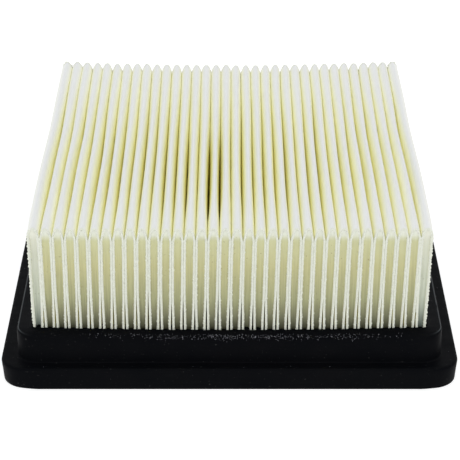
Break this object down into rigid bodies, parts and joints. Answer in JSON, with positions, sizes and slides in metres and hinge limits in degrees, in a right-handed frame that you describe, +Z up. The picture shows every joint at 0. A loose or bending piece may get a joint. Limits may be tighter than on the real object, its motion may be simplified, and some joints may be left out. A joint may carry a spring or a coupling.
{
  "type": "panel air filter",
  "caption": "Rectangular pleated-paper panel air filter with a soft moulded flange and collar and a wire screen on the outlet side.",
  "frame": {"origin": "middle of the underside of the flange, on the airbox face that the filter seats on", "axes": "+Z up from the underside to the pleat crests, +Y along the folds away from the front, +X across the folds"},
  "size_m": [0.1664, 0.1772, 0.0602],
  "materials": {
    "black_polyurethane": "satin",
    "filter_paper": "matte",
    "hot_melt": "satin",
    "galvanised_wire": "satin"
  },
  "bodies": {
    "root": {"seal_frame": "black_polyurethane", "pleated_paper": "filter_paper", "front_end_seals": "hot_melt", "rear_end_seals": "hot_melt", "screen_long_wires": "galvanised_wire", "screen_cross_wires": "galvanised_wire"}
  },
  "joints": []
}
